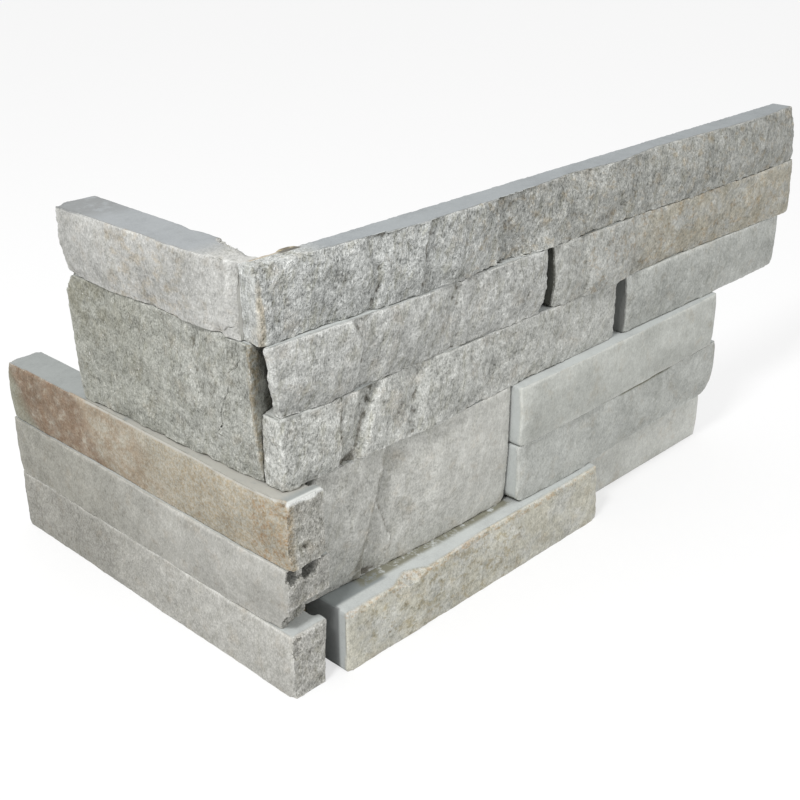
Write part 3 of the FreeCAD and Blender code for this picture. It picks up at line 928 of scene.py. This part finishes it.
# %% The finish on every strip
# How far the grain moves from one strip to the next, in mm
GRAIN_SHIFT = 37.0

for number, (name, piece) in enumerate(pieces.items()):
    finish = quartzite("quartzite_" + name, GREYS[name], GRAIN_SHIFT * (number + 1), on_short_leg(name),
                       STAINS.get(name, ()), MARKS.get(name, ()), SAWN_BEDS.get(name, SAWN_BED))
    piece.data.materials.clear()
    piece.data.materials.append(finish)
    piece.data.polygons.foreach_set("material_index", [0] * len(piece.data.polygons))
    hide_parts(STRIPS[name][0])
    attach(piece, "root")
print("finishes:", len(pieces))

# %% [markdown]
# The adhesive is a smear of tan resin that was pressed out where the two legs meet. It is a
# lumpy bead, so its solid gets the same cells as the stone, and a bump of soft lumps.

# %% The adhesive
adhesive = celled_copy("corner_adhesive", "corner_resin")
resin = Finish("tan_resin", 5.0)
lumps = resin.noise((3, 3, 5), 0, 2, 0.5)
tan = resin.blend(resin.ease(lumps, 0.35, 0.65), display(112, 104, 88), display(172, 160, 132))
resin.connect(tan, resin.shader.inputs["Base Color"])
resin.connect(0.45 + lumps * 0.3, resin.shader.inputs["Roughness"])
bump = resin.node("ShaderNodeBump", {}, {"Height": lumps, "Strength": 0.6, "Distance": 0.6 * MM})
resin.connect(bump, resin.shader.inputs["Normal"])
adhesive.data.materials.append(resin.material)
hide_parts("corner_adhesive")
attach(adhesive, "root")
print("adhesive faces:", len(adhesive.data.polygons))

# %% [markdown]
# The studio is a large pale floor under soft light. One lamp stands high in front of the
# corner, a little to the left, so that it grazes both legs and picks out the relief. The world
# fills the shadows. The camera sees the floor and the world a little brighter than they light
# the stone, so the background is white and the stone is not washed out.

# %% Floor and light
FLOOR_SIZE = 60
# The share of plain white in what the camera sees of the floor; the rest keeps the shadow
FLOOR_GLOW = 0.6
WORLD_LIGHT = 0.8
# What the camera sees of the world beyond the light it gives
WORLD_SEEN = 0.12
# Places are in metres, and the power is in watts
LAMP_PLACE = (-0.52, -0.17, 0.85)
LAMP_TARGET = (0.1, 0.0, 0.08)
LAMP_SIZE = 0.16
LAMP_POWER = 4.8

bpy.ops.object.select_all(action="DESELECT")
bpy.ops.mesh.primitive_plane_add(size=FLOOR_SIZE)
floor = bpy.context.active_object
floor.name = "floor"
floor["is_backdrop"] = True
pale = Finish("pale_floor", 0.0)
rays = pale.node("ShaderNodeLightPath", {}, {}, "Is Camera Ray")
pale.connect(pale.blend(rays, display(212, 212, 212), (1, 1, 1, 1)), pale.shader.inputs["Base Color"])
pale.connect(0.9, pale.shader.inputs["Roughness"])
glow = pale.node("ShaderNodeEmission", {}, {"Color": (1, 1, 1, 1), "Strength": 1.0})
lit = Signal(pale, pale.shader.outputs[0])
mixed = pale.node("ShaderNodeMixShader", {}, {0: rays * FLOOR_GLOW, 1: lit, 2: glow})
pale.connect(mixed, pale.tree.nodes["Material Output"].inputs["Surface"])
floor.data.materials.append(pale.material)


class Surroundings(Finish):
    """The world's nodes, made by the same method as a finish."""

    def __init__(self, name):
        world = bpy.data.worlds.new(name)
        world.use_nodes = True
        bpy.context.scene.world = world
        self.tree = world.node_tree
        self.shader = self.tree.nodes["Background"]


studio = Surroundings("studio")
studio.connect((1, 1, 1, 1), studio.shader.inputs["Color"])
seen = studio.node("ShaderNodeLightPath", {}, {}, "Is Camera Ray")
studio.connect(WORLD_LIGHT + seen * WORLD_SEEN, studio.shader.inputs["Strength"])

bpy.ops.object.select_all(action="DESELECT")
bpy.ops.object.light_add(type="AREA", location=LAMP_PLACE)
key_lamp = bpy.context.active_object
key_lamp.name = "key_lamp"
beam = Vector(LAMP_TARGET) - Vector(LAMP_PLACE)
key_lamp.rotation_euler = beam.to_track_quat("-Z", "Y").to_euler()
key_lamp.data.size = LAMP_SIZE
key_lamp.data.energy = LAMP_POWER
print("the lamp is", round(beam.length, 2), "m from the panel")

# %% [markdown]
# The camera looks down on the corner as in the photograph. Its place, its turns and its focal
# length come from the straight sawn edges of the panel and the right angle between its legs.
# A camera that is worked out so, and not set by eye, lets every other length be read through it.

# %% Camera
# The place is in mm and the turns are in degrees; the frame of the photograph is square
CAMERA_PLACE = Vector((-228.179, -274.816, 267.671))
LOOKS_DOWN = 25.141
HEADING = 43.921
FOCAL_PIXELS = 1224.747
FRAME_PIXELS = 800
SENSOR_WIDTH = 36

bpy.ops.object.select_all(action="DESELECT")
bpy.ops.object.camera_add(location=CAMERA_PLACE * MM)
camera = bpy.context.active_object
camera.rotation_euler = (math.radians(90 - LOOKS_DOWN), 0, math.radians(HEADING - 90))
camera.data.sensor_width = SENSOR_WIDTH
camera.data.lens = SENSOR_WIDTH * FOCAL_PIXELS / FRAME_PIXELS
camera.data.clip_start = 0.01
bpy.context.scene.camera = camera
bpy.context.scene.view_settings.view_transform = "Standard"
print("lens:", round(camera.data.lens, 2), "mm")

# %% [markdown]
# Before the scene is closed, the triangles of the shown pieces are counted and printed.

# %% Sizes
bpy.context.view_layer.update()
meshes = [piece.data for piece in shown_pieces() if piece.type == "MESH"]
triangles = [sum(len(face.vertices) - 2 for face in mesh.polygons) for mesh in meshes]
print("triangles:", sum(triangles), "largest:", max(triangles))
